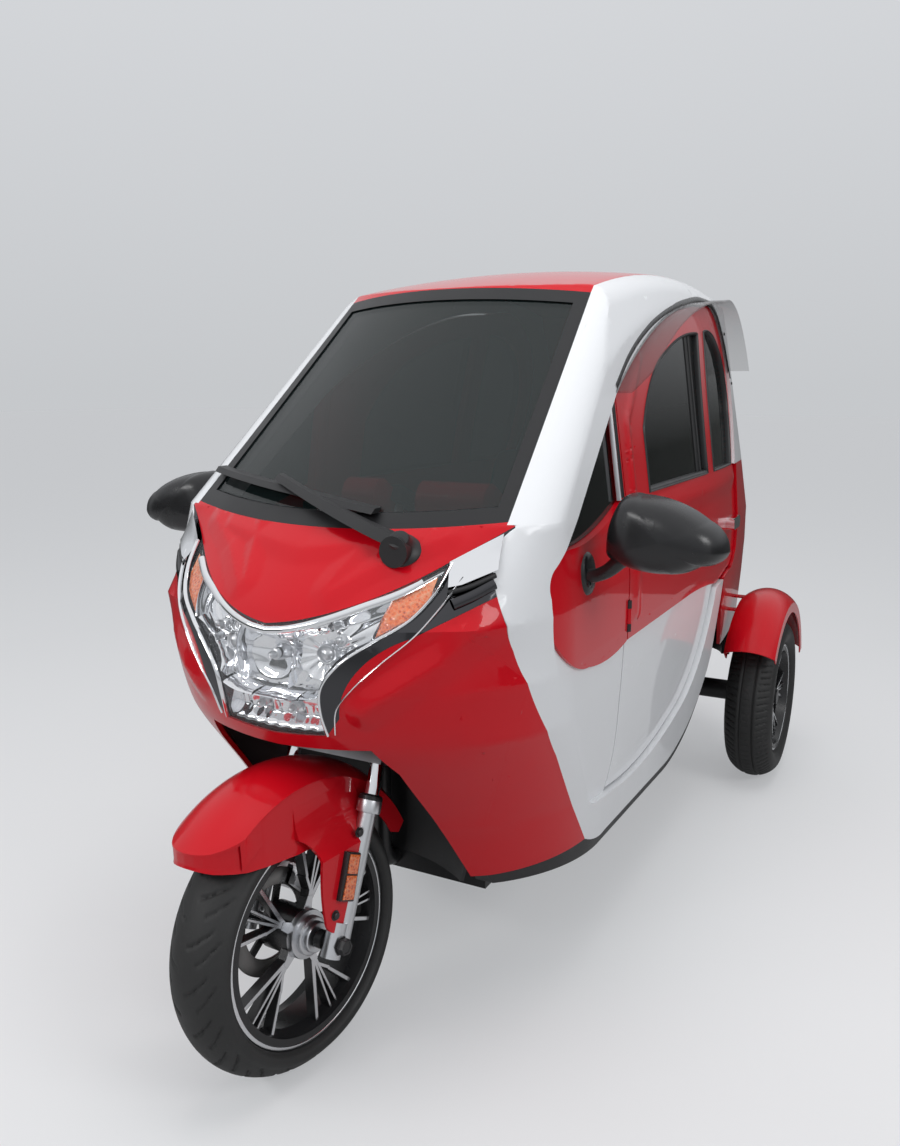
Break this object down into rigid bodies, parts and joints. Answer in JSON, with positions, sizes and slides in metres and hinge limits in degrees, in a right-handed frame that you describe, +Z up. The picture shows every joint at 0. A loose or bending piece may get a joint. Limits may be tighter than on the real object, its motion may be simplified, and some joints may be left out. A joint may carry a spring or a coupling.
{
  "type": "three wheeled car",
  "caption": "Enclosed electric tricycle car: hard two-colour cab with side doors, one steered front wheel on a raked fork, two rear wheels on a solid axle.",
  "frame": {"origin": "centre of the overall box at floor level", "axes": "+X to the car's own left, +Y to the rear, +Z up"},
  "size_m": [1.2802, 2.3212, 1.4659],
  "materials": {
    "red_paint": "glossy red paint",
    "white_paint": "glossy white paint",
    "black_plastic": "textured black plastic",
    "chrome_trim": "bright chrome",
    "lamp_inside": "bright reflector",
    "clear_lens": "clear",
    "red_lens": "clear red lens",
    "clear_glass": "clear safety glass",
    "tinted_glass": "dark tinted glass",
    "clear_acrylic": "smoked acrylic",
    "mirror_glass": "mirror",
    "seal_rubber": "matt black",
    "tyre_rubber": "matt black",
    "black_alloy": "black paint with machined edges",
    "fork_alloy": "silver paint",
    "steel_parts": "black paint",
    "seat_cover": "black leatherette"
  },
  "bodies": {
    "body": {"battery_pack": "black_plastic", "bonnet": "red_paint", "chassis": "steel_parts", "dashboard": "black_plastic", "door_hinges": "steel_parts", "floor_tub": "black_plastic", "front_bulkhead": "black_plastic", "front_seat": "seat_cover", "lamp_garnish": "chrome_trim", "lamp_housing": "lamp_inside", "lamp_lens": "clear_lens", "mirror_glasses": "mirror_glass", "mirrors": "black_plastic", "nose_fairings": "red_paint", "quarter_glass": "tinted_glass", "quarter_red": "red_paint", "quarter_white": "white_paint", "rain_visors": "clear_acrylic", "rear_axle": "steel_parts", "rear_body": "red_paint", "rear_bumper": "black_plastic", "rear_fenders": "red_paint", "rear_seat": "seat_cover", "rear_window": "tinted_glass", "roof": "red_paint", "seat_box": "black_plastic", "side_frames_lower": "white_paint", "side_frames_upper": "white_paint", "sill_skirts": "black_plastic", "spring_struts": "steel_parts", "tail_lamps": "red_lens", "windscreen": "clear_glass", "windscreen_rubber": "seal_rubber", "wiper": "black_plastic"},
    "door_left": {"door_red_left": "red_paint", "door_white_left": "white_paint", "door_glass_left": "tinted_glass", "door_handle_left": "fork_alloy"},
    "door_right": {"door_red_right": "red_paint", "door_white_right": "white_paint", "door_glass_right": "tinted_glass", "door_handle_right": "fork_alloy"},
    "steering": {"fork_legs": "fork_alloy", "fork_tubes": "chrome_trim", "fork_yokes": "fork_alloy", "front_mudguard": "red_paint", "front_spindle": "steel_parts", "handlebar": "steel_parts"},
    "front_wheel": {"front_rim": "black_alloy", "front_tyre": "tyre_rubber"},
    "rear_wheel_left": {"rear_rim_left": "black_alloy", "rear_tyre_left": "tyre_rubber"},
    "rear_wheel_right": {"rear_rim_right": "black_alloy", "rear_tyre_right": "tyre_rubber"}
  },
  "joints": [
    {"name": "steer", "type": "hinge", "parent": "body", "child": "steering", "pos_m": [0, -0.88778, 0.22821], "axis": [0, 0.4226, 0.9063], "range_deg": [-30, 46]},
    {"name": "front_wheel_roll", "type": "hinge", "parent": "steering", "child": "front_wheel", "pos_m": [-0.00487, -0.91919, 0.24286], "axis": [0.9903, -0.1261, 0.0588], "continuous": true},
    {"name": "rear_wheel_left_roll", "type": "hinge", "parent": "body", "child": "rear_wheel_left", "pos_m": [0.475, 0.8305, 0.247], "axis": [1, 0, 0], "continuous": true},
    {"name": "rear_wheel_right_roll", "type": "hinge", "parent": "body", "child": "rear_wheel_right", "pos_m": [-0.475, 0.8305, 0.247], "axis": [1, 0, 0], "continuous": true},
    {"name": "door_left_hinge", "type": "hinge", "parent": "body", "child": "door_left", "pos_m": [0.398, -0.30475, 0.75], "axis": [0, 0, -1], "range_deg": [0, 65]},
    {"name": "door_right_hinge", "type": "hinge", "parent": "body", "child": "door_right", "pos_m": [-0.398, -0.30475, 0.75], "axis": [0, 0, 1], "range_deg": [0, 65]}
  ]
}
